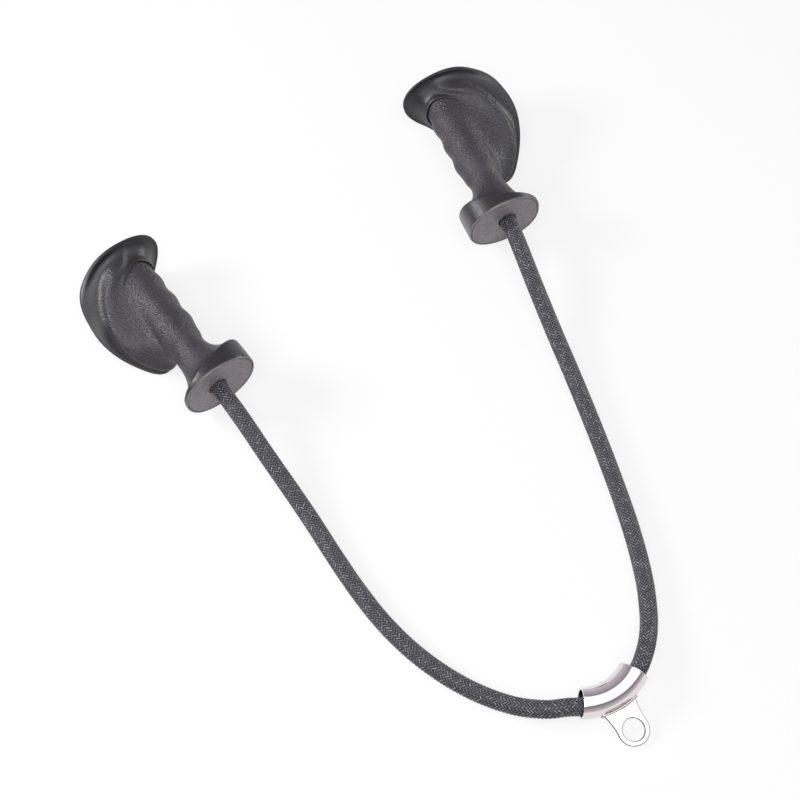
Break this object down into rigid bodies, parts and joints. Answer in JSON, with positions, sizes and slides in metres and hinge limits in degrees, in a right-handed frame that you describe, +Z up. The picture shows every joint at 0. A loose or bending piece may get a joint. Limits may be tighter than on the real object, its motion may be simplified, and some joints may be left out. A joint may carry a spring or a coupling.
{
  "type": "triceps rope attachment",
  "caption": "Cable-machine triceps rope: braided rope through a bent polished steel sleeve with a carabiner lug, and a moulded grip with a palm shell on each end.",
  "frame": {"origin": "centre of the base of the bounding box of the rigid pieces, on the surface the part lies on", "axes": "+Z up from the resting surface, +Y from the steel sleeve to the grips, the left grip at -X and the right grip at +X"},
  "size_m": [0.4671, 0.6537, 0.0734],
  "materials": {
    "braided_polyester": "braided, black with pale flecks",
    "moulded_rubber": "satin, moulded with a fine leathery grain",
    "zinc_plated_steel": "zinc plated",
    "crimped_aluminium": "as crimped",
    "polished_stainless_steel": "mirror polished"
  },
  "bodies": {
    "rope": {"rope": "braided_polyester", "left_rope_ferrule": "crimped_aluminium", "right_rope_ferrule": "crimped_aluminium"},
    "left_grip": {"left_grip": "moulded_rubber", "left_stop_washer": "zinc_plated_steel"},
    "right_grip": {"right_grip": "moulded_rubber", "right_stop_washer": "zinc_plated_steel"},
    "sleeve": {"sleeve_tube": "polished_stainless_steel", "carabiner_lug": "polished_stainless_steel"}
  },
  "joints": [
    {"name": "left_grip_swivel", "type": "hinge", "parent": "rope", "child": "left_grip", "pos_m": [-0.1556, 0.1271, 0.0345], "axis": [-0.1392, 0.9903, 0], "continuous": true},
    {"name": "right_grip_swivel", "type": "hinge", "parent": "rope", "child": "right_grip", "pos_m": [0.1608, 0.1594, 0.0345], "axis": [0.0698, 0.9976, 0], "continuous": true},
    {"name": "sleeve_slide", "type": "hinge", "parent": "rope", "child": "sleeve", "pos_m": [0.00973, -0.22813, 0.02653], "axis": [0.0168, -0.2407, 0.9705], "range_deg": [-6, 6]}
  ]
}
